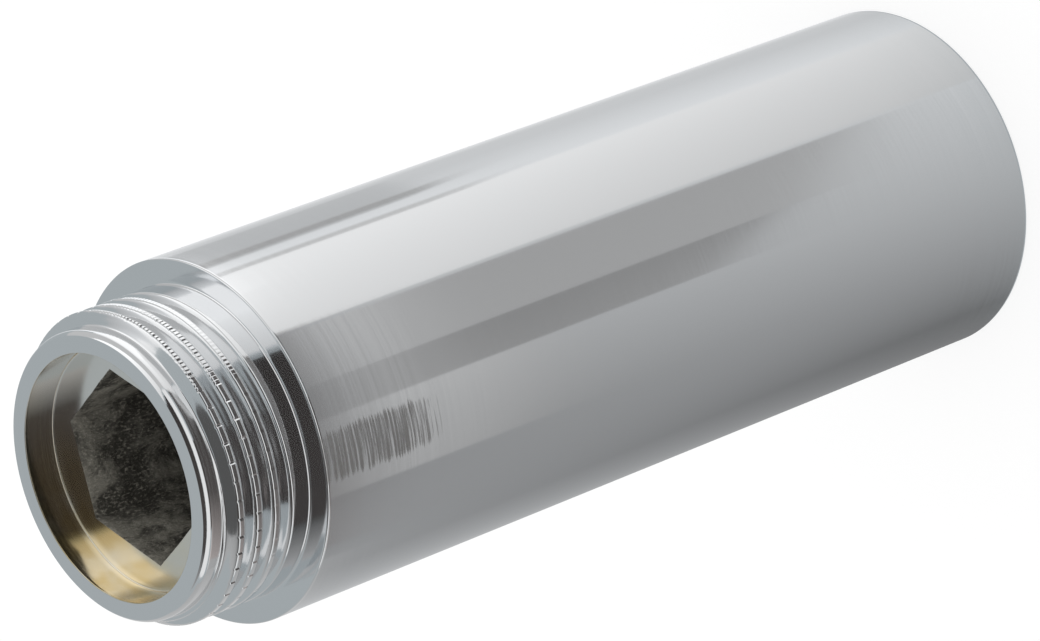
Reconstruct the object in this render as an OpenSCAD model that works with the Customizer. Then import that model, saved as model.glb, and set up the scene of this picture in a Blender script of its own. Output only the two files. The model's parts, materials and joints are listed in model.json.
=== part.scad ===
// Chromed brass pipe extension, G 3/4, male thread to female socket, with a
// hexagonal key passage through it. One turned piece.
// The origin is the centre of the socket's end face, and +Z runs along the pipe to
// the male end. A corner of the hexagon is on +X.

/* [Thread] */
// Nominal outside diameter of the pipe thread at both ends
thread_major_d = 26.44; // [22.4:0.01:42]
// Threads per inch
threads_per_inch = 14; // [11:1:19]
// Male crests are under the nominal diameter by this much, female crests over it
thread_allowance = 0.24; // [0.1:0.02:0.4]

/* [Barrel] */
// Length of the barrel, from the socket's end face to the shoulder
barrel_len = 80.2; // [24:0.1:150]
// Wall of the barrel outside the thread's nominal diameter
barrel_wall = 1.98; // [1.2:0.01:6]
// Break of the barrel's two outer edges
edge_break = 0.15; // [0.05:0.05:0.5]

/* [Male end] */
// Length of the spigot, from the shoulder to the male end face
spigot_len = 9.8; // [7:0.1:20]
// Wall between the root of the male thread and the counterbore
spigot_wall = 1.8; // [0.8:0.1:2.5]
// Length of the plain pilot at the tip
pilot_len = 1.7; // [1:0.1:3]
// The pilot is turned below the thread's root by this much
pilot_clearance = 0.05; // [0.05:0.01:0.2]
// Chamfer at the tip of the pilot
tip_chamfer = 0.3; // [0.1:0.05:0.6]
// Distance from the shoulder to the place where the thread's groove begins
land_len = 1.7; // [1.2:0.1:3]
// Fillet between the plain land and the shoulder
shoulder_fillet = 0.2; // [0.1:0.05:0.4]
// Depth of the counterbore
counterbore_depth = 2.9; // [1:0.1:6]

/* [Female socket] */
// Depth of the socket
socket_depth = 16; // [10:0.5:20]
// Length of the plain bore at the socket's floor, past the last turn
socket_relief_len = 3; // [2:0.5:5]
// The 45 degree lead-in starts wider than the thread by this much on the radius
lead_clearance = 0.15; // [0.05:0.05:0.3]

/* [Key passage] */
// Width across the flats of the hexagonal passage
hex_af = 14; // [6:0.1:17]

/* [Hidden] */
$fn = 96;

// A cut runs past the face that it opens by this much.
cut_past = 0.5;
total_len = barrel_len + spigot_len;

// Whitworth pipe thread form: 55 degrees between the flanks.
mm_per_inch = 25.4;
pitch = mm_per_inch / threads_per_inch;
flank_slope = tan(55 / 2);
thread_depth = 0.6403 * pitch;
root_flat = 0.055 * pitch;
major_r = thread_major_d / 2;
minor_r = major_r - thread_depth;
male_crest_r = major_r - thread_allowance / 2;
socket_r = minor_r + thread_allowance / 2;

// The groove's cutting solid stands clear of the crests by this much.
groove_overshoot = 0.25;
// Where it fades out, its section shrinks to this depth, which is clear of the metal.
faded_depth = 0.12;
// The groove fades out of the metal over this part of a turn.
fade_deg = 120;
steps_per_turn = 36;
// Angle at which the male thread's groove begins, by the shoulder.
male_start_deg = 40;

barrel_r = major_r + barrel_wall;
pilot_r = minor_r - pilot_clearance;
pilot_z = total_len - pilot_len;
counterbore_r = minor_r - spigot_wall;
lead_r = major_r + lead_clearance;

function around(radius, angle, z) = [radius * cos(angle), radius * sin(angle), z];

// Four corners of the groove's section at one step: two at its root, two at its open
// side.
function groove_ring(root_r, open_r, angle, z) =
    let (
        half_root = root_flat / 2,
        half_open = half_root + abs(open_r - root_r) * flank_slope
    )
    [
        around(root_r, angle, z - half_root),
        around(open_r, angle, z - half_open),
        around(open_r, angle, z + half_open),
        around(root_r, angle, z + half_root)
    ];

// Cutting solid of a right-hand thread groove, rising from first_z to last_z. The
// groove opens outward where crest_r is larger than root_r, and to the axis where it
// is smaller. It fades out at its lower end, or at its upper end if fade_up is true.
module thread_groove(root_r, crest_r, first_z, last_z, first_deg, fade_up) {
    outward = crest_r > root_r;
    side = outward ? 1 : -1;
    open_r = crest_r + side * groove_overshoot;
    full_lift = abs(open_r - root_r) - faded_depth;
    turn_deg = (last_z - first_z) / pitch * 360;
    steps = ceil(turn_deg / 360 * steps_per_turn);
    rings = [
        for (i = [0:steps])
            let (
                swept = turn_deg * i / steps,
                from_end = fade_up ? turn_deg - swept : swept,
                lift = full_lift * max(0, 1 - from_end / fade_deg)
            )
            groove_ring(root_r + side * lift, open_r, first_deg + swept,
                        first_z + pitch * swept / 360)
    ];
    corners = 4;
    sides = [
        for (i = [0:steps - 1], j = [0:corners - 1])
            let (
                a = i * corners + j,
                b = i * corners + (j + 1) % corners
            )
            for (face = [[a, b, b + corners], [a, b + corners, a + corners]])
                face
    ];
    first_cap = [for (j = [corners - 1:-1:0]) j];
    last_cap = [for (j = [0:corners - 1]) steps * corners + j];
    faces = concat(sides, [first_cap, last_cap]);
    polyhedron(
        points = [for (ring = rings, point = ring) point],
        faces = outward ? faces : [for (face = faces) [for (k = [len(face) - 1:-1:0]) face[k]]]
    );
}

// Outside of the extension as one turned profile.
module turned_outside() {
    fillet_r = male_crest_r + shoulder_fillet;
    fillet_z = barrel_len + shoulder_fillet;
    rotate_extrude()
        difference() {
            polygon([
                [0, 0],
                [barrel_r - edge_break, 0],
                [barrel_r, edge_break],
                [barrel_r, barrel_len - edge_break],
                [barrel_r - edge_break, barrel_len],
                [fillet_r, barrel_len],
                [fillet_r, fillet_z],
                [male_crest_r, fillet_z],
                [male_crest_r, pilot_z - (male_crest_r - pilot_r) * flank_slope],
                [pilot_r, pilot_z],
                [pilot_r, total_len - tip_chamfer],
                [pilot_r - tip_chamfer, total_len],
                [0, total_len]
            ]);
            translate([fillet_r, fillet_z])
                circle(r = shoulder_fillet);
        }
}

module male_thread_cut() {
    thread_groove(
        root_r = minor_r,
        crest_r = male_crest_r,
        first_z = barrel_len + land_len,
        last_z = pilot_z + pitch / 2,
        first_deg = male_start_deg,
        fade_up = false
    );
}

module female_thread_cut() {
    thread_groove(
        root_r = major_r,
        crest_r = socket_r,
        first_z = -pitch,
        last_z = socket_depth - socket_relief_len,
        first_deg = 0,
        fade_up = true
    );
}

// Socket bore with its 45 degree lead-in.
module socket_cut() {
    lead_len = lead_r - socket_r;
    translate([0, 0, -cut_past])
        cylinder(r = socket_r, h = socket_depth + cut_past);
    translate([0, 0, -cut_past])
        cylinder(r1 = lead_r + cut_past, r2 = socket_r, h = lead_len + cut_past);
}

// Hexagonal passage, with a counterbore at the male end.
module key_passage_cut() {
    hex_corner_d = hex_af / cos(30);
    translate([0, 0, socket_depth - cut_past])
        cylinder(d = hex_corner_d, h = total_len - socket_depth + 2 * cut_past, $fn = 6);
    translate([0, 0, total_len - counterbore_depth])
        cylinder(r = counterbore_r, h = counterbore_depth + cut_past);
}

module extension_body() {
    color("silver")
        difference() {
            turned_outside();
            socket_cut();
            key_passage_cut();
            male_thread_cut();
            female_thread_cut();
        }
}

extension_body();
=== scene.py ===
"""Chromed brass pipe extension: male thread, round barrel, hexagonal key passage.

The visual model is one watertight skin, lathed round the pipe axis (+Z) as a closed
chain of rings: up the outside, over the male end, down the passage and out through
the socket. Lengths are in metres, in the frame of the CAD part.
"""

import json
import math

import bpy
import numpy as np
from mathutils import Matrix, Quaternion, Vector, noise


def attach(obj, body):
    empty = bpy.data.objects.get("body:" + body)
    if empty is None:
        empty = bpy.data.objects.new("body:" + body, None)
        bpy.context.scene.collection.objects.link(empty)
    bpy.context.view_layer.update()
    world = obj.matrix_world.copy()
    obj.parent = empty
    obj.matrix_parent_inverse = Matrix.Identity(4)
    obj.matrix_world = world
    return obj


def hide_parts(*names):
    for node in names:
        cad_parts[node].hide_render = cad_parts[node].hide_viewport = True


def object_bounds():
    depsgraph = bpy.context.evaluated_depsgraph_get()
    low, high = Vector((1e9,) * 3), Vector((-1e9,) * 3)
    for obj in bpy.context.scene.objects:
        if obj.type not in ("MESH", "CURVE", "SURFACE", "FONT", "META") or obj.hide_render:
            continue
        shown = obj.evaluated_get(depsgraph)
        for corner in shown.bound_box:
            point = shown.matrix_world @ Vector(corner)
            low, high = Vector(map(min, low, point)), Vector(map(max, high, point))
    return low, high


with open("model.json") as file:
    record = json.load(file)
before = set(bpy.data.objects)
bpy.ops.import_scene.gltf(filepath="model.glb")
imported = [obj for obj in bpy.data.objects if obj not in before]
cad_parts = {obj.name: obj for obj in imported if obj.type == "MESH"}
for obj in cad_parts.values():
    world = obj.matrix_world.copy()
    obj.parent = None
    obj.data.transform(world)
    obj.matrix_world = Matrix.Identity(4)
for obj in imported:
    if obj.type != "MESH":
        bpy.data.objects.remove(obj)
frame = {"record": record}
cad_low, cad_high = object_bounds()

MM = 0.001


# ---------------------------------------------------------------- sizes from the frame
def mount(name):
    return next(m for m in frame["record"]["mounts"] if m["name"] == name)


def mount_radius(name):
    return mount(name)["dims"]["r_mm"] * MM


total_len = cad_high.z
barrel_r = cad_high.x
shoulder_z = mount("shoulder_face")["pos_m"][2]
crest_r = mount_radius("male_thread")
pilot_r = mount_radius("male_pilot")
counterbore_r = mount_radius("counterbore")
counterbore_z = total_len - mount("counterbore")["dims"]["length_mm"] * MM
socket_r = mount_radius("female_thread")

# Sizes of the part that the record doesn't hold, as in its source.
hex_af = 14 * MM
pitch = 25.4 / 14 * MM
major_r = 13.22 * MM
minor_r = major_r - 0.6403 * pitch
land_len = 1.7 * MM
pilot_len = 1.7 * MM
pilot_z = total_len - pilot_len
tip_chamfer = 0.3 * MM
shoulder_fillet = 0.2 * MM
edge_break = 0.15 * MM
socket_depth = 16 * MM
socket_relief = 3 * MM
lead_r = major_r + 0.15 * MM

# Thread form: 55 degrees between the flanks, a narrow flat root.
flank_slope = math.tan(math.radians(55 / 2))
root_half = 0.055 * pitch / 2
# The groove's flanks are followed this far past the crests.
groove_open = 0.25 * MM
# At its blind end the groove gets shallower over this angle, down to this depth.
fade_deg = 120
faded_depth = 0.12 * MM
# Where the male groove starts on the land, from +X.
groove_start_deg = 40
# Rounding of the crests.
male_crest_round = 0.2 * MM
female_crest_round = 0.14 * MM

# Notches that a knurling wheel pressed into the first crests: small V grooves.
notches_per_turn = 53
notch_half = 0.12 * MM
notch_depth = 0.1 * MM
# They are deepest from this height up, and have run out at the lower one.
notch_full_z = total_len - 2.6 * MM
notch_end_z = shoulder_z + 2.4 * MM
# On a part of the turn the wheel slipped and left finer marks in between.
marks_per_notch = 4
mark_half = 0.07 * MM
mark_depth = 0.06 * MM
marks_from, marks_to = math.radians(238), math.radians(299)

# How finely the skin is cut: the height of a row on the male thread and in the
# socket, and the columns of the plain rings and of the hexagon's.
thread_row = 0.06 * MM
socket_row = 0.2 * MM
round_columns = 204
hex_columns = 180


def even_angles(count):
    return np.arange(count) * (2 * np.pi / count)


def has_marks(angle):
    """Whether the fine marks are there, at an angle in radians."""
    angle = angle % (2 * np.pi)
    return (marks_from < angle) & (angle < marks_to)


def notched_angles():
    """Angles with a column on each notch's centre, on both of its lips, and between it
    and the next either a few plain ones or the same three for each fine mark."""
    step = 2 * np.pi * crest_r / notches_per_turn
    notch = [0, notch_half, step - notch_half]
    plain_from = 1.6 * notch_half
    plain = np.linspace(plain_from, step - plain_from, 4)
    marks = np.arange(1, marks_per_notch) * step / marks_per_notch
    marks = np.concatenate([marks - mark_half, marks, marks + mark_half])
    columns = []
    for start in np.arange(notches_per_turn) * step:
        between = marks if has_marks((start + step / 2) / crest_r) else plain
        columns.append(start + np.sort(np.concatenate([notch, between])))
    return np.concatenate(columns) / crest_r


fine = notched_angles()
round_cut = even_angles(round_columns)
hex_cut = even_angles(hex_columns)


# ---------------------------------------------------------------- surface finishes
PLATE = (0.80, 0.81, 0.82)
# Relief of the turned lines that the plate still shows.
PLATE_RELIEF = 0.00004 * MM


class Finish:
    """A procedural material with short ways to add its nodes."""

    def __init__(self, name, colour, metallic, roughness):
        self.material = bpy.data.materials.new(name)
        self.material.use_nodes = True
        self.tree = self.material.node_tree
        self.shader = self.tree.nodes["Principled BSDF"]
        self.set("Base Color", (*colour, 1))
        self.set("Metallic", metallic)
        self.set("Roughness", roughness)
        self.place = self.node("ShaderNodeTexCoord").outputs["Object"]

    def set(self, socket, value):
        self.shader.inputs[socket].default_value = value

    def node(self, kind, **inputs):
        made = self.tree.nodes.new(kind)
        for name, value in inputs.items():
            self.feed(made.inputs[name.replace("_", " ")], value)
        return made

    def feed(self, socket, value):
        if isinstance(value, bpy.types.NodeSocket):
            self.tree.links.new(value, socket)
        else:
            socket.default_value = value

    def drive(self, socket, value):
        self.feed(self.shader.inputs[socket], value)

    def stretched(self, scale):
        """The piece's own coordinates, in metres, times scale along each axis."""
        made = self.node("ShaderNodeMapping", Vector=self.place)
        made.inputs["Scale"].default_value = scale
        return made.outputs["Vector"]

    def noise(self, scale, detail=3.0, rough=0.5, distortion=0.0):
        made = self.node(
            "ShaderNodeTexNoise",
            Vector=self.stretched(scale),
            Scale=1.0,
            Detail=detail,
            Roughness=rough,
            Distortion=distortion,
        )
        return made.outputs["Fac"]

    def ramp(self, value, low, high, to_low=0.0, to_high=1.0):
        """value from low..high to to_low..to_high, smoothly and clamped."""
        made = self.node("ShaderNodeMapRange", Value=value)
        made.interpolation_type = "SMOOTHSTEP"
        for name, number in (
            ("From Min", low),
            ("From Max", high),
            ("To Min", to_low),
            ("To Max", to_high),
        ):
            made.inputs[name].default_value = number
        return made.outputs["Result"]

    def math(self, operation, a, b):
        made = self.node("ShaderNodeMath")
        made.operation = operation
        self.feed(made.inputs[0], a)
        self.feed(made.inputs[1], b)
        return made.outputs[0]

    def blend(self, share, first, second):
        made = self.node("ShaderNodeMix")
        made.data_type = "RGBA"
        self.feed(made.inputs["Factor"], share)
        for name, colour in (("A", first), ("B", second)):
            socket = next(
                s for s in made.inputs if s.name == name and s.type == "RGBA"
            )
            plain = not isinstance(colour, bpy.types.NodeSocket)
            self.feed(socket, (*colour, 1) if plain else colour)
        return next(s for s in made.outputs if s.type == "RGBA")

    def bump(self, height, depth, below=None):
        """Normal of a relief that is depth metres deep where height runs 0 to 1."""
        made = self.node("ShaderNodeBump", Height=height, Strength=1.0, Distance=depth)
        if below is not None:
            self.feed(made.inputs["Normal"], below)
        return made.outputs["Normal"]

    def apart(self):
        """The piece's own coordinates, one by one."""
        return self.node("ShaderNodeSeparateXYZ", Vector=self.place).outputs

    def turned_lines(self, per_metre, round_scale=40.0):
        """Noise drawn out round the axis, as a lathe or a polishing belt leaves it."""
        return self.noise((round_scale, round_scale, per_metre), detail=4.0, rough=0.6)


def barrel_plate():
    """Chrome plate over a belt-polished barrel. The fine turned lines draw its
    reflections out along the axis. The belt has left a patch of coarser marks by the
    shoulder, on the -X side; there the colour is darkened too, partly real scuffing and partly
    painted dark streaks that stand in for streaks in the reflection."""
    finish = Finish("barrel_plate", PLATE, 1.0, 0.1)
    finish.set("Anisotropic", 0.6)
    finish.set("Anisotropic Rotation", 0.25)
    lines = finish.turned_lines(9000)
    cloud = finish.noise((45, 45, 20), detail=2.0)
    coarse = finish.turned_lines(5200, round_scale=150.0)
    # marks: the patch's coarse marks, which roughen the plate and also darken its colour as
    # painted dark reflection streaks.
    marks = finish.ramp(finish.math("MULTIPLY", belt_scuff_and_painted_streak_patch(finish), coarse), 0.37, 0.58)
    line_rough = finish.ramp(lines, 0.3, 0.7, 0.08, 0.11)
    cloud_rough = finish.ramp(cloud, 0.3, 0.7, -0.015, 0.015)
    rough = finish.math("ADD", line_rough, cloud_rough)
    finish.drive("Roughness", finish.math("ADD", rough, finish.math("MULTIPLY", marks, 0.2)))
    # The patch's darker colour: partly real scuffing, partly painted shade standing in for dark
    # streaks in the reflection.
    scuff_and_painted_streak_colour = (0.42, 0.41, 0.40)
    finish.drive("Base Color", finish.blend(marks, PLATE, scuff_and_painted_streak_colour))
    finish.drive("Normal", finish.bump(lines, PLATE_RELIEF))
    return finish.material


def belt_scuff_and_painted_streak_patch(finish):
    """1 in the patch of belt marks and painted dark streaks, 0 outside it, with soft edges."""
    apart = finish.apart()
    side = finish.math("ARCTAN2", apart["Y"], apart["X"])
    middle, half = math.radians(-157), math.radians(13)
    off_centre = finish.math("ABSOLUTE", finish.math("SUBTRACT", side, middle), 0.0)
    across = finish.ramp(off_centre, half * 0.4, half, 1.0, 0.0)
    along = finish.ramp(apart["Z"], shoulder_z - 19 * MM, shoulder_z - 8 * MM)
    return finish.math("MULTIPLY", across, along)


def spigot_plate():
    """Chrome plate over the cut spigot: a mirror with faint tool marks."""
    finish = Finish("spigot_plate", PLATE, 1.0, 0.08)
    lines = finish.turned_lines(14000)
    finish.drive("Roughness", finish.ramp(lines, 0.3, 0.7, 0.06, 0.12))
    finish.drive("Normal", finish.bump(lines, PLATE_RELIEF))
    return finish.material


def thin_plate():
    """Plate that thins out inside the mouth, so that brass warms it, most of all on
    the +Y side and more on the wall than on the floor."""
    finish = Finish("thin_plate", (0.80, 0.78, 0.72), 1.0, 0.14)
    apart = finish.apart()
    cloud = finish.ramp(finish.noise((300, 300, 300), detail=3.0), 0.3, 0.6, 0.5, 1.0)
    side = finish.ramp(apart["Y"], -2 * MM, 9 * MM)
    wall = finish.ramp(apart["Z"], counterbore_z + 0.1 * MM, counterbore_z + 0.8 * MM)
    floor_brass, wall_brass = (0.85, 0.775, 0.61), (0.60, 0.50, 0.30)
    brass = finish.blend(wall, floor_brass, wall_brass)
    warm = finish.math("MULTIPLY", cloud, side)
    finish.drive("Base Color", finish.blend(warm, (0.80, 0.79, 0.76), brass))
    lines = finish.turned_lines(9000)
    finish.drive("Roughness", finish.ramp(lines, 0.3, 0.7, 0.12, 0.2))
    finish.drive("Normal", finish.bump(lines, PLATE_RELIEF))
    return finish.material


def raw_bore():
    """Unplated hexagonal passage: dull, oxidised brass with torn folds and a gritty
    surface, as it came from the die."""
    finish = Finish("raw_bore", (0.2, 0.19, 0.17), 0.0, 0.8)
    folds = finish.noise((420, 420, 260), detail=4.0, rough=0.6, distortion=0.3)
    grit = finish.noise((5200, 5200, 3000), detail=4.0, rough=0.6)
    oxide, brass, bright = (0.05, 0.047, 0.038), (0.21, 0.20, 0.17), (0.36, 0.34, 0.29)
    dull = finish.blend(finish.ramp(folds, 0.40, 0.60), oxide, brass)
    specks = finish.ramp(grit, 0.48, 0.72, 0.0, 0.75)
    finish.drive("Base Color", finish.blend(specks, dull, bright))
    finish.drive("Roughness", finish.ramp(folds, 0.3, 0.7, 0.9, 0.6))
    coarse = finish.bump(folds, 0.5 * MM)
    finish.drive("Normal", finish.bump(grit, 0.06 * MM, coarse))
    return finish.material


def socket_brass():
    """Machined socket, with only a flash of plate over the brass."""
    finish = Finish("socket_brass", (0.72, 0.62, 0.42), 1.0, 0.3)
    lines = finish.turned_lines(6000)
    finish.drive("Roughness", finish.ramp(lines, 0.3, 0.7, 0.2, 0.4))
    finish.drive("Normal", finish.bump(lines, 0.0004 * MM))
    return finish.material


FINISHES = {
    "barrel": barrel_plate(),
    "spigot": spigot_plate(),
    "thin": thin_plate(),
    "bore": raw_bore(),
    "socket": socket_brass(),
}
FINISH_INDEX = {name: i for i, name in enumerate(FINISHES)}


# ---------------------------------------------------------------- the skin
class Skin:
    """A closed chain of rings round the Z axis, each joined to the next."""

    def __init__(self):
        self.rings = []

    def ring(self, radius, height, angle, finish, crease=False):
        """One ring. radius and height are numbers or one value for each angle.
        finish is that of the band between this ring and the next. Shading breaks at a
        crease."""
        radius = np.broadcast_to(radius, angle.shape)
        height = np.broadcast_to(height, angle.shape)
        points = np.column_stack([radius * np.cos(angle), radius * np.sin(angle), height])
        self.rings.append((points, angle, finish, crease))

    def path(self, points, angle, finish):
        """A ring for each point, given as its radius and its height."""
        for radius, height in points:
            self.ring(radius, height, angle, finish)

    @staticmethod
    def band(first, one, second, two):
        """Faces between two rings, whose points start at the indices first and second
        and lie at the angles one and two."""
        n, m = len(one), len(two)
        if n == m:
            return [
                (first + i, first + (i + 1) % n, second + (i + 1) % n, second + i)
                for i in range(n)
            ]
        one, two = np.append(one, 2 * np.pi), np.append(two, 2 * np.pi)
        faces, i, j = [], 0, 0
        while i < n or j < m:
            if j >= m or (i < n and one[i + 1] <= two[j + 1]):
                faces.append((first + i % n, first + (i + 1) % n, second + j % m))
                i += 1
            else:
                faces.append((first + i % n, second + (j + 1) % m, second + j % m))
                j += 1
        return faces

    def build(self, name):
        """The piece that the rings make, the last one joined to the first."""
        starts = np.cumsum([0] + [len(ring[0]) for ring in self.rings])
        faces, slots = [], []
        for k, (_, angle, finish, _) in enumerate(self.rings):
            after = (k + 1) % len(self.rings)
            made = self.band(starts[k], angle, starts[after], self.rings[after][1])
            faces += made
            slots += [FINISH_INDEX[finish]] * len(made)
        mesh = bpy.data.meshes.new(name)
        mesh.from_pydata(np.vstack([r[0] for r in self.rings]).tolist(), [], faces)
        mesh.polygons.foreach_set("material_index", slots)
        mesh.polygons.foreach_set("use_smooth", [True] * len(faces))
        for material in FINISHES.values():
            mesh.materials.append(material)
        self.mark_creases(mesh, starts)
        mesh.validate()
        piece = bpy.data.objects.new(name, mesh)
        bpy.context.collection.objects.link(piece)
        return piece

    def mark_creases(self, mesh, starts):
        """Shading breaks along the creased rings and the notches."""
        ring_of = np.searchsorted(starts, np.arange(starts[-1]), side="right") - 1
        creased = np.array([ring[3] for ring in self.rings])
        ends = np.empty(len(mesh.edges) * 2, dtype=np.int32)
        mesh.edges.foreach_get("vertices", ends)
        ends_at = ends.reshape(-1, 2)
        ends = ring_of[ends_at]
        sharp = (ends[:, 0] == ends[:, 1]) & creased[ends[:, 0]]
        sharp |= self.notch_lines(mesh, ends_at)
        attribute = mesh.attributes.new("sharp_edge", "BOOLEAN", "EDGE")
        attribute.data.foreach_set("value", sharp)

    @staticmethod
    def notch_lines(mesh, ends_at):
        """The edges along the bottom and the two lips of each notch and fine mark."""
        points = np.empty(len(mesh.vertices) * 3)
        mesh.vertices.foreach_get("co", points)
        points = points.reshape(-1, 3)
        radius = np.hypot(points[:, 0], points[:, 1])
        angle = np.arctan2(points[:, 1], points[:, 0])
        tolerance = 0.01 * MM
        on_line = np.zeros(len(angle), dtype=bool)
        for off_centre, half, there in (
            (notch_offset(angle, 1), notch_half, True),
            (notch_offset(angle, marks_per_notch), mark_half, has_marks(angle)),
        ):
            on_line |= there & ((off_centre < tolerance) | (np.abs(off_centre - half) < tolerance))
        on_crest = np.abs(radius - crest_r) < notch_depth + tolerance
        deep = notch_share(points[:, 2]) > 1 / 3
        chosen = on_line & on_crest & deep
        place = notch_offset(angle, 1)
        same_angle = np.abs(place[ends_at[:, 0]] - place[ends_at[:, 1]]) < tolerance
        return chosen[ends_at[:, 0]] & chosen[ends_at[:, 1]] & same_angle


def arc(centre_r, centre_z, radius, start_deg, end_deg, steps):
    """Points of a circular arc in the plane of the radius and the axis."""
    return [
        (centre_r + radius * math.cos(a), centre_z + radius * math.sin(a))
        for a in np.radians(np.linspace(start_deg, end_deg, steps + 1))
    ]


def soft_min(a, b, width):
    """The smaller of a and b, with the corner between them rounded."""
    near = np.maximum(width - np.abs(a - b), 0) / width
    return np.minimum(a, b) - near * near * width / 4


def groove_wall(angle, z, root_r, open_r, first_z, last_z, first_deg, fade_up):
    """Radius of the thread groove's wall, and where there is no groove, a radius far
    out on the open side. The groove runs from first_z, at first_deg, to last_z."""
    side = 1 if open_r > root_r else -1
    turn = ((np.degrees(angle) - first_deg) % 360) / 360
    phase = (z - first_z) / pitch - turn
    whole = np.round(phase)
    off_centre = np.abs(phase - whole) * pitch
    swept = (whole + turn) * 360
    last = (last_z - first_z) / pitch * 360
    from_end = last - swept if fade_up else swept
    fade = np.clip(1 - from_end / fade_deg, 0, 1)
    lift = fade * (abs(open_r - root_r) - faded_depth)
    wall = root_r + side * (lift + np.maximum(off_centre - root_half, 0) / flank_slope)
    none = (swept < 0) | (swept > last)
    return np.where(none, root_r + side, wall)


def ripple(angle, z):
    """Slight unevenness of the thread's flanks, in metres: waves along the axis that
    drift slowly round the turn."""
    short, long = 0.052 * MM, 0.083 * MM
    ripple_height = 0.004 * MM
    per_turn = np.sin(angle * 3 + 1.1) + 0.6 * np.sin(angle * 7 + 0.4)
    waves = np.sin(z / short + 1.3 * per_turn) + 0.7 * np.sin(z / long - per_turn)
    return ripple_height * waves


def notch_offset(angle, per_notch):
    """Distance round the crest to the nearest notch's centre, or to that of a mark
    where there are several marks for each notch."""
    step = 2 * np.pi / notches_per_turn / per_notch
    return np.abs((angle + step / 2) % step - step / 2) * crest_r


def notch_share(z):
    """The notches are deepest on the first crest and have run out on the last."""
    return np.clip((z - notch_end_z) / (notch_full_z - notch_end_z), 0, 1)


def male_spigot_radius(angle, z):
    """Radius of the threaded spigot: crests, groove, pilot, notches and marks."""
    cone = pilot_r + (pilot_z - z) / flank_slope + ripple(angle, z)
    envelope = soft_min(crest_r, np.maximum(cone, pilot_r), male_crest_round)
    open_r = crest_r + groove_open
    first_z, last_z = shoulder_z + land_len, pilot_z + pitch / 2
    wall = groove_wall(angle, z, minor_r, open_r, first_z, last_z, groove_start_deg, False)
    radius = soft_min(envelope, wall + ripple(angle, z), male_crest_round)
    share = notch_share(z)
    notch = crest_r - share * notch_depth * (1 - notch_offset(angle, 1) / notch_half)
    marks = share * mark_depth * has_marks(angle)
    mark = crest_r - marks * (1 - notch_offset(angle, marks_per_notch) / mark_half)
    return np.where(share > 0, np.minimum(radius, np.minimum(notch, mark)), radius)


def socket_radius(angle, z):
    """Radius of the threaded socket and its lead-in."""
    lead = lead_r - z
    envelope = np.maximum(socket_r, lead)
    open_r, last_z = socket_r - groove_open, socket_depth - socket_relief
    wall = groove_wall(angle, z, major_r, open_r, -pitch, last_z, 0, True)
    return -soft_min(-envelope, -wall, female_crest_round)


def add_outside(skin):
    """The socket's end face, the barrel, the shoulder and its fillet."""
    end_r = barrel_r - edge_break
    support = 0.12 * MM
    skin.path([(lead_r + support, 0), (end_r - support, 0)], round_cut, "barrel")
    skin.path(arc(end_r, edge_break, edge_break, -90, 0, 5), round_cut, "barrel")
    low, high = edge_break + support, shoulder_z - edge_break - support
    skin.path([(barrel_r, z) for z in np.linspace(low, high, 8)], round_cut, "barrel")
    top = shoulder_z - edge_break
    skin.path(arc(end_r, top, edge_break, 0, 90, 5)[:-1], round_cut, "barrel")
    skin.ring(end_r, shoulder_z, round_cut, "spigot", crease=True)
    skin.ring(end_r - support, shoulder_z, round_cut, "spigot")
    fillet_r = crest_r + shoulder_fillet
    skin.ring(fillet_r + support, shoulder_z, fine, "spigot")
    fillet = arc(fillet_r, shoulder_z + shoulder_fillet, shoulder_fillet, -90, -180, 5)
    skin.path(fillet, fine, "spigot")


def add_spigot(skin):
    """The land, the thread, the pilot and the tip."""
    first = shoulder_z + shoulder_fillet + 0.1 * MM
    thread_low = shoulder_z + 0.9 * MM
    thread_high = pilot_z + 0.1 * MM
    skin.ring(crest_r, first, fine, "spigot")
    rows = int((thread_high - thread_low) / thread_row)
    for z in np.linspace(thread_low, thread_high, rows):
        skin.ring(male_spigot_radius(fine, z), z, fine, "spigot")
    # The chamfer runs into the pilot with a large round.
    tip_round = 0.8 * MM
    lean = math.cos(math.radians(45))
    round_z = total_len - tip_chamfer + tip_round * (1 - lean) - tip_round * lean
    plain = (thread_high + 0.1 * MM, round_z - 0.1 * MM)
    skin.path([(pilot_r, z) for z in plain], fine, "spigot")
    skin.path(arc(pilot_r - tip_round, round_z, tip_round, 0, 45, 8), fine, "spigot")
    skin.ring(pilot_r - tip_chamfer, total_len, fine, "spigot", crease=True)
    skin.ring(pilot_r - tip_chamfer - 0.08 * MM, total_len, fine, "spigot")


def add_mouth(skin):
    """Male end face, counterbore and the floor round the hexagon."""
    mouth_round = 0.07 * MM
    round_r = counterbore_r + mouth_round
    skin.ring(round_r + 0.1 * MM, total_len, round_cut, "spigot")
    skin.path(arc(round_r, total_len - mouth_round, mouth_round, 90, 180, 4), round_cut, "thin")
    corner = 0.12 * MM
    walls = np.linspace(total_len - 0.3 * MM, counterbore_z + corner + 0.05 * MM, 4)
    skin.path([(counterbore_r, z) for z in walls], round_cut, "thin")
    corner_r = counterbore_r - corner
    skin.path(arc(corner_r, counterbore_z + corner, corner, 0, -90, 4), round_cut, "thin")
    skin.ring(corner_r - 0.1 * MM, counterbore_z, round_cut, "thin")


def hexagon(angle, af):
    """Radius of a hexagon with a corner on +X."""
    in_side = (angle % (np.pi / 3)) - np.pi / 6
    return af / 2 / np.cos(in_side)


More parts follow.
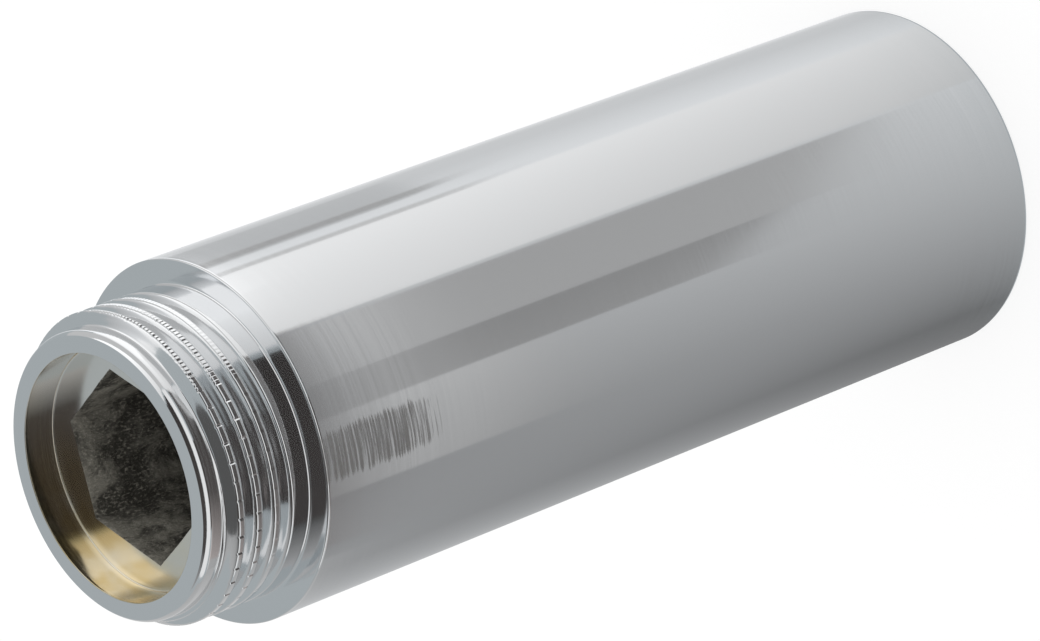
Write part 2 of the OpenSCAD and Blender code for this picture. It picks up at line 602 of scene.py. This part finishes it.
def add_passage(skin):
    """Hexagonal passage from the counterbore's floor to the socket's floor, with the
    torn, uneven walls of a raw bar."""
    edge = 0.1 * MM
    radius = hexagon(hex_cut, hex_af)
    skin.ring(radius + 0.3 * MM, counterbore_z, hex_cut, "thin")
    torn = np.array([uneven(a, counterbore_z) for a in hex_cut])
    skin.ring(radius + edge * (0.5 + 0.6 * torn), counterbore_z, hex_cut, "bore", crease=True)
    # Closer rows where the mouth shows the wall, and wider ones further in.
    near_end = counterbore_z - 14 * MM
    grown_in, grown_out = 2.2 * MM, 0.3 * MM
    near = np.linspace(counterbore_z - edge, near_end, 42)
    far = np.linspace(near_end, socket_depth + grown_out, 24)[1:]
    relief = 0.4 * MM
    for z in np.concatenate([near, far]):
        from_mouth, from_socket = counterbore_z - z, z - socket_depth
        share = min(1.0, from_mouth / grown_in, from_socket / grown_out)
        lumps = np.array([uneven(a, z) for a in hex_cut])
        skin.ring(radius + relief * share * lumps, z, hex_cut, "bore")
    skin.ring(radius, socket_depth, hex_cut, "socket", crease=True)
    skin.ring(radius + 0.25 * MM, socket_depth, hex_cut, "socket")


def uneven(angle, z):
    """Unevenness of the raw passage, from about -1 to 1: long axial drag marks and
    smaller pits."""
    r = hex_af / 2
    spot = Vector((r * math.cos(angle), r * math.sin(angle), z))
    folds = noise.noise(Vector((spot.x * 330, spot.y * 330, spot.z * 190)))
    drag = noise.noise(Vector((spot.x * 900, spot.y * 900, spot.z * 160)))
    pits = noise.noise(spot * 1300)
    return 0.8 * folds + 0.35 * drag + 0.3 * pits


def add_socket(skin):
    """The socket's floor, its relief, its thread and its lead-in."""
    corner = 0.1 * MM
    corner_r = socket_r - corner
    skin.ring(corner_r - 0.15 * MM, socket_depth, round_cut, "socket")
    skin.path(arc(corner_r, socket_depth - corner, corner, 90, 0, 3), round_cut, "socket")
    thread_high = socket_depth - socket_relief + 0.8 * MM
    skin.ring(socket_r, thread_high + 0.1 * MM, round_cut, "socket")
    rows = int(thread_high / socket_row)
    for z in np.linspace(thread_high, 0.02 * MM, rows):
        skin.ring(socket_radius(round_cut, z), z, round_cut, "socket")
    skin.ring(lead_r, 0, round_cut, "barrel", crease=True)


def make_extension():
    """The whole skin, from the socket's rim round to the socket's rim."""
    skin = Skin()
    add_outside(skin)
    add_spigot(skin)
    add_mouth(skin)
    add_passage(skin)
    add_socket(skin)
    piece = skin.build("extension_skin")
    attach(piece, "root")
    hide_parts("extension_body")


# ---------------------------------------------------------------- studio
# The part is nearly a mirror, so its look comes from curved cards round it. The cards
# stand at this distance from the axis, or a little nearer to hide the ones behind.
CARD_RADIUS = 0.3
NEAR_RADIUS = 0.97 * CARD_RADIUS
ROD_RADIUS = 0.96 * CARD_RADIUS
# Heights on the cards. The barrel mirrors what is below SPLIT in the main view, the
# spigot what is above it.
BENCH_EDGE = -0.28
SPLIT = -0.13
FLAG_TOP = -0.09
LOW_GAP = -0.01
HIGH_GAP = 0.19
HIGH_FLAG = 0.2
CARD_TOP = 0.55
WHITE = (1, 1, 1)
WARM = (1.0, 0.90, 0.87)
COOL = (0.97, 0.985, 1.0)


def glow(name, colour, strength):
    """Light from a surface, for what only reflections see."""
    material = bpy.data.materials.new(name)
    material.use_nodes = True
    material.cycles.emission_sampling = "NONE"
    tree = material.node_tree
    tree.nodes.clear()
    light = tree.nodes.new("ShaderNodeEmission")
    light.inputs["Color"].default_value = (*colour, 1)
    light.inputs["Strength"].default_value = strength
    out = tree.nodes.new("ShaderNodeOutputMaterial")
    tree.links.new(light.outputs[0], out.inputs[0])
    return material


def only_in_reflections(card):
    """Stages a card so that the camera and the soft light don't see it."""
    card.visible_camera = False
    card.visible_diffuse = False
    card.visible_shadow = False
    card.visible_transmission = False


def studio_card(name, azimuth, low, high, below, above, tint=WHITE, radius=CARD_RADIUS):
    """A curved card round the part, seen in reflections only: its azimuth in degrees
    from +X, the heights of its lower and its upper edge, and its light along those two
    edges. A pair holds the values at the card's two ends, a number both of them."""
    steps, rows = 24, 6
    across = np.linspace(0, 1, steps + 1)[None, :]
    up = np.linspace(0, 1, rows + 1)[:, None]

    def between(value):
        one, two = value if isinstance(value, tuple) else (value, value)
        return one + (two - one) * across

    angle = np.radians(between(azimuth)) + 0 * up
    height = between(low) * (1 - up) + between(high) * up
    light = between(below) * (1 - up) + between(above) * up
    points = np.stack([radius * np.cos(angle), radius * np.sin(angle), height], axis=-1)
    row = steps + 1
    faces = [
        (j * row + i, j * row + i + 1, (j + 1) * row + i + 1, (j + 1) * row + i)
        for j in range(rows)
        for i in range(steps)
    ]
    mesh = bpy.data.meshes.new(name)
    mesh.from_pydata(points.reshape(-1, 3).tolist(), [], faces)
    level = mesh.attributes.new("level", "FLOAT", "POINT")
    level.data.foreach_set("value", light.ravel())
    material = glow(name, tint, 1.0)
    tree = material.node_tree
    reader = tree.nodes.new("ShaderNodeAttribute")
    reader.attribute_name = "level"
    tree.links.new(reader.outputs["Fac"], tree.nodes["Emission"].inputs["Strength"])
    mesh.materials.append(material)
    card = bpy.data.objects.new(name, mesh)
    bpy.context.collection.objects.link(card)
    only_in_reflections(card)


def make_world():
    """White to the camera and as light, a grey room in reflections."""
    world = bpy.data.worlds.new("studio")
    world.use_nodes = True
    bpy.context.scene.world = world
    tree = world.node_tree
    back = tree.nodes["Background"]
    back.inputs["Color"].default_value = (1, 1, 1, 1)
    back.inputs["Strength"].default_value = 1.0
    path = tree.nodes.new("ShaderNodeLightPath")
    room = tree.nodes.new("ShaderNodeBackground")
    room.inputs["Color"].default_value = (0.43, 0.465, 0.48, 1)
    mix = tree.nodes.new("ShaderNodeMixShader")
    tree.links.new(path.outputs["Is Glossy Ray"], mix.inputs["Fac"])
    tree.links.new(back.outputs[0], mix.inputs[1])
    tree.links.new(room.outputs[0], mix.inputs[2])
    tree.links.new(mix.outputs[0], tree.nodes["World Output"].inputs["Surface"])


def make_floor():
    """Pale floor, just clear of the end face that stands on it. It glows, so that it
    comes out evenly pale."""
    floor_size, clear = 3.0, 0.1 * MM
    bpy.ops.mesh.primitive_plane_add(size=floor_size, location=(0, 0, cad_low.z - clear))
    floor = bpy.context.object
    floor.name = "floor"
    floor.visible_glossy = False
    pale = Finish("pale_floor", (0.25, 0.25, 0.25), 0.0, 0.9)
    pale.set("Emission Color", (1, 1, 1, 1))
    pale.set("Emission Strength", 0.77)
    floor.data.materials.append(pale.material)


def make_soft_box():
    """A large soft box with a dimmer stripe at the part's own height, and a pale wall
    beside it."""
    for low, high in ((SPLIT, LOW_GAP), (HIGH_GAP, CARD_TOP)):
        studio_card("soft_box_edge", (-94, -60), low, high, (0.82, 1.2), (0.85, 1.0))
        studio_card("soft_box", (-60, -20), low, high, 1.3, (0.95, 0.9))
    studio_card("soft_box_gap", (-94, -5), LOW_GAP, HIGH_GAP, 0.6, 0.6)
    studio_card("soft_box_fade", (-20, 50), SPLIT, -0.05, (1.4, 0.66), (1.1, 0.6), COOL)
    fade = (0.85, 0.5)
    studio_card("soft_box_fade_top", (-20, -6), 0.1, CARD_TOP, fade, fade, COOL)
    studio_card("wall", (50, 118), SPLIT, 0.12, (0.7, 0.45), (0.6, 0.45))


def make_flags():
    """Black flags opposite the soft box, with a bright gap between the low and the high
    ones."""
    black = 0.06
    studio_card("flag_edge", (-128, -94), SPLIT, FLAG_TOP, (black, 0.1), (0.07, 0.12), WARM)
    studio_card("flag", (-176, -128), SPLIT, FLAG_TOP, black, (0.1, black), WARM)
    studio_card("flag_side", (-232, -176), SPLIT, FLAG_TOP, black, (1.0, 0.1), WARM)
    studio_card("flag_end", (-244, -232), SPLIT, FLAG_TOP, (0.36, 0.08), (0.5, 1.0))
    studio_card("flag_top", (-202, -136), FLAG_TOP, -0.02, black, black, WARM)
    studio_card("gap", (-236, -95), LOW_GAP, HIGH_GAP, 0.9, 0.9)
    fade = (0.07, 0.05)
    studio_card("high_flag", (-222, -98), HIGH_FLAG, CARD_TOP, fade, fade, WARM)
    fade = (0.48, 0.1)
    studio_card("high_flag_end", (-262, -222), HIGH_FLAG, CARD_TOP, fade, fade)


def make_bench():
    """What the barrel sees: the bench, in greys."""

    def bench(side, azimuth, below, above, tint=COOL):
        studio_card("bench_" + side, azimuth, BENCH_EDGE, SPLIT, below, above, tint)

    bench("key", (-95, -38), (0.64, 0.82), (0.84, 1.0), WHITE)
    bench("left", (-38, -5), (0.84, 0.66), (0.88, 0.7))
    bench("back", (-5, 12), (0.66, 0.66), (0.7, 0.66))
    bench("end", (12, 50), (0.66, 1.05), (0.66, 1.05))
    bench("right", (-256, -200), (0.15, 0.38), (0.36, 0.335))
    bench("far", (50, 104), (0.2, 0.15), (0.62, 0.36))
    bench("front", (-200, -95), (0.38, 0.76), (0.335, 0.54))


def make_things():
    """Things that stand on the bench, closer to the part: a box with a lighter lid, a
    tray and two rods."""
    box_top, tray_low, tray_top = -0.152, -0.165, -0.12

    def near(name, azimuth, low, high, below, above, tint=WHITE):
        studio_card(name, azimuth, low, high, below, above, tint, NEAR_RADIUS)

    near("box", (-131, -97), (-0.222, -0.236), box_top, 0.42, (0.41, 0.4))
    near("box_side", (-152, -131), (-0.2, -0.214), box_top, (0.32, 0.3), (0.31, 0.28))
    near("box_lid", (-131, -97), box_top, SPLIT, (0.41, 0.4), (0.62, 0.64))
    near("lid_side", (-152, -131), box_top, SPLIT, (0.31, 0.28), 0.54)
    near("glint", (-200, -152), tray_low, SPLIT, (0.345, 0.447), (0.54, 0.66))
    near("tray", (-28, 8), tray_low, tray_top, 0.57, 0.55, COOL)
    studio_card("rod", (-26, -20), -0.166, tray_top, 0.42, 0.42, radius=ROD_RADIUS)
    studio_card("thin_rod", (-40, -36), -0.17, tray_top, 0.6, 0.6, radius=ROD_RADIUS)


def make_overhead():
    """A dark ceiling panel, which keeps the upward thread flanks from washing out."""
    place = (-0.06, 0.14, 0.6)
    bpy.ops.mesh.primitive_circle_add(
        vertices=48, radius=0.24, fill_type="NGON", location=place
    )
    panel = bpy.context.object
    panel.name = "ceiling_panel"
    panel.data.materials.append(glow("ceiling_panel", (1, 1, 1), 0.1))
    only_in_reflections(panel)


def make_camera():
    """Looks down the barrel from the male end, with the pipe leaning across the frame."""
    aim = Vector((0.0003, 0.0001, 0.0453))
    azimuth, elevation = math.radians(-139.215), math.radians(38.572)
    distance = 0.49937
    back = Vector((
        math.cos(azimuth) * math.cos(elevation),
        math.sin(azimuth) * math.cos(elevation),
        math.sin(elevation),
    ))
    data = bpy.data.cameras.new("camera")
    data.sensor_width = 36
    data.lens = 207.6
    data.clip_start = 0.01
    camera = bpy.data.objects.new("camera", data)
    bpy.context.collection.objects.link(camera)
    camera.location = aim + back * distance
    camera.rotation_mode = "QUATERNION"
    roll = Quaternion((0, 0, 1), math.radians(-110.741))
    camera.rotation_quaternion = (-back).to_track_quat("-Z", "Y") @ roll
    bpy.context.scene.camera = camera


make_camera()
make_extension()
make_world()
make_floor()
make_soft_box()
make_flags()
make_bench()
make_things()
make_overhead()
bpy.context.scene.view_settings.view_transform = "Standard"
